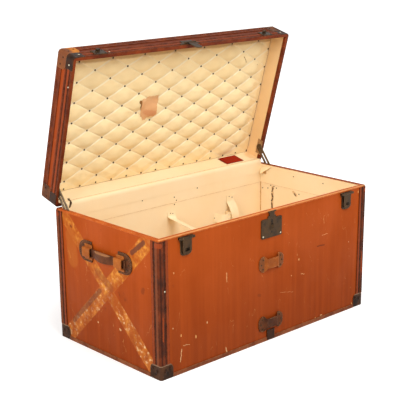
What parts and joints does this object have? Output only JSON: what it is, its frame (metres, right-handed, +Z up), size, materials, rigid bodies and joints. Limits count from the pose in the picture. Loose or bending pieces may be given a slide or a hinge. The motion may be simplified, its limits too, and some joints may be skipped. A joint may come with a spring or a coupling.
{
  "type": "travel trunk",
  "caption": "Canvas-covered travel trunk with a quilted hinged lid, lid stays, front lock with hasp, lever clasps and sliding end handles.",
  "frame": {"origin": "middle of the underside of the base board", "axes": "+X along the trunk's length, to the right seen from the front; +Y to the back, where the hinges are; +Z up"},
  "size_m": [0.9444, 0.5683, 0.9079],
  "materials": {
    "board": "plain sawn, unseen",
    "body_canvas": "orange-brown coated canvas, worn",
    "lid_canvas": "orange-brown coated canvas, worn",
    "lining": "cream cloth lining",
    "quilt": "cream quilted cloth",
    "edging": "orange-brown rim edging",
    "body_trim": "dark red-brown hard fibre",
    "lid_trim": "red-brown hard fibre",
    "tan_leather": "tan leather",
    "dark_leather": "dark brown leather",
    "bronze": "dark patinated",
    "dark_metal": "blackened",
    "steel": "dull grey",
    "tape": "cream webbing"
  },
  "bodies": {
    "trunk_body": {"back_board": "board", "back_left_corner_trim": "body_trim", "back_right_corner_trim": "body_trim", "base_board": "board", "base_corner_caps": "dark_metal", "base_edge_trims": "body_trim", "base_lining": "lining", "body_canvas": "body_canvas", "clasp_bases": "bronze", "clasp_pins": "steel", "end_wall_linings": "lining", "front_board": "board", "front_left_corner_trim": "body_trim", "front_right_corner_trim": "body_trim", "handle_loops": "tan_leather", "handle_plates": "dark_leather", "hinge_body_leaves": "bronze", "hinge_pins": "steel", "left_end_board": "board", "lining_band": "lining", "lock_case": "steel", "lock_head": "bronze", "lock_plate": "bronze", "long_tape": "tape", "long_wall_linings": "lining", "lower_strap_keeper": "dark_leather", "right_end_board": "board", "rim_edging": "edging", "short_tape": "tape", "stay_pins": "steel", "strap_clip": "dark_metal", "upper_strap_keeper": "tan_leather"},
    "lid": {"lid_top_board": "board", "lid_front_wall": "board", "lid_back_wall": "board", "lid_left_wall": "board", "lid_right_wall": "board", "lid_canvas": "lid_canvas", "lid_wall_linings": "lining", "quilted_pad": "quilt", "lid_rim_trims": "lid_trim", "lid_top_trims": "lid_trim", "lid_front_left_cap": "tan_leather", "lid_front_right_cap": "dark_metal", "lid_back_left_cap": "dark_metal", "lid_back_right_cap": "dark_metal", "lid_rim_brackets": "dark_metal", "hasp_plate": "bronze", "hasp_pin": "steel", "lid_catches": "bronze", "hinge_lid_leaves": "bronze", "stay_rivets": "steel", "lid_edging": "edging"},
    "left_stay": {"left_lid_stay": "steel"},
    "right_stay": {"right_lid_stay": "steel"},
    "left_clasp": {"left_clasp_lever": "bronze"},
    "right_clasp": {"right_clasp_lever": "bronze"},
    "hasp_leaf": {"hasp": "bronze"},
    "left_grip": {"left_handle_grip": "dark_leather"},
    "right_grip": {"right_handle_grip": "dark_leather"}
  },
  "joints": [
    {"name": "lid_hinge", "type": "hinge", "parent": "trunk_body", "child": "lid", "pos_m": [0, 0.2433, 0.4205], "axis": [1, 0, 0], "range_deg": [0, 74.3]},
    {"name": "left_stay_pivot", "type": "hinge", "parent": "lid", "child": "left_stay", "pos_m": [-0.4412, 0.24024, 0.47573], "axis": [1, 0, 0], "range_deg": [-37.2, 0.05]},
    {"name": "left_clasp_pivot", "type": "hinge", "parent": "trunk_body", "child": "left_clasp", "pos_m": [-0.35, -0.2475, 0.409], "axis": [-1, 0, 0], "range_deg": [0, 178]},
    {"name": "left_grip_slide", "type": "slide", "parent": "trunk_body", "child": "left_grip", "axis": [-1, 0, 0], "range_m": [0, 0.0055]},
    {"name": "right_stay_pivot", "type": "hinge", "parent": "lid", "child": "right_stay", "pos_m": [0.4412, 0.24024, 0.47573], "axis": [1, 0, 0], "range_deg": [-37.2, 0.05]},
    {"name": "right_clasp_pivot", "type": "hinge", "parent": "trunk_body", "child": "right_clasp", "pos_m": [0.35, -0.2475, 0.409], "axis": [-1, 0, 0], "range_deg": [0, 178]},
    {"name": "right_grip_slide", "type": "slide", "parent": "trunk_body", "child": "right_grip", "axis": [1, 0, 0], "range_m": [0, 0.0055]},
    {"name": "hasp_pivot", "type": "hinge", "parent": "lid", "child": "hasp_leaf", "pos_m": [0, 0.11565, 0.89496], "axis": [-1, 0, 0], "range_deg": [0, 110]}
  ],
  "couplings": [
    {"joint": "left_stay_pivot", "follows": "lid_hinge", "ratio": -0.5},
    {"joint": "right_stay_pivot", "follows": "lid_hinge", "ratio": -0.5}
  ]
}
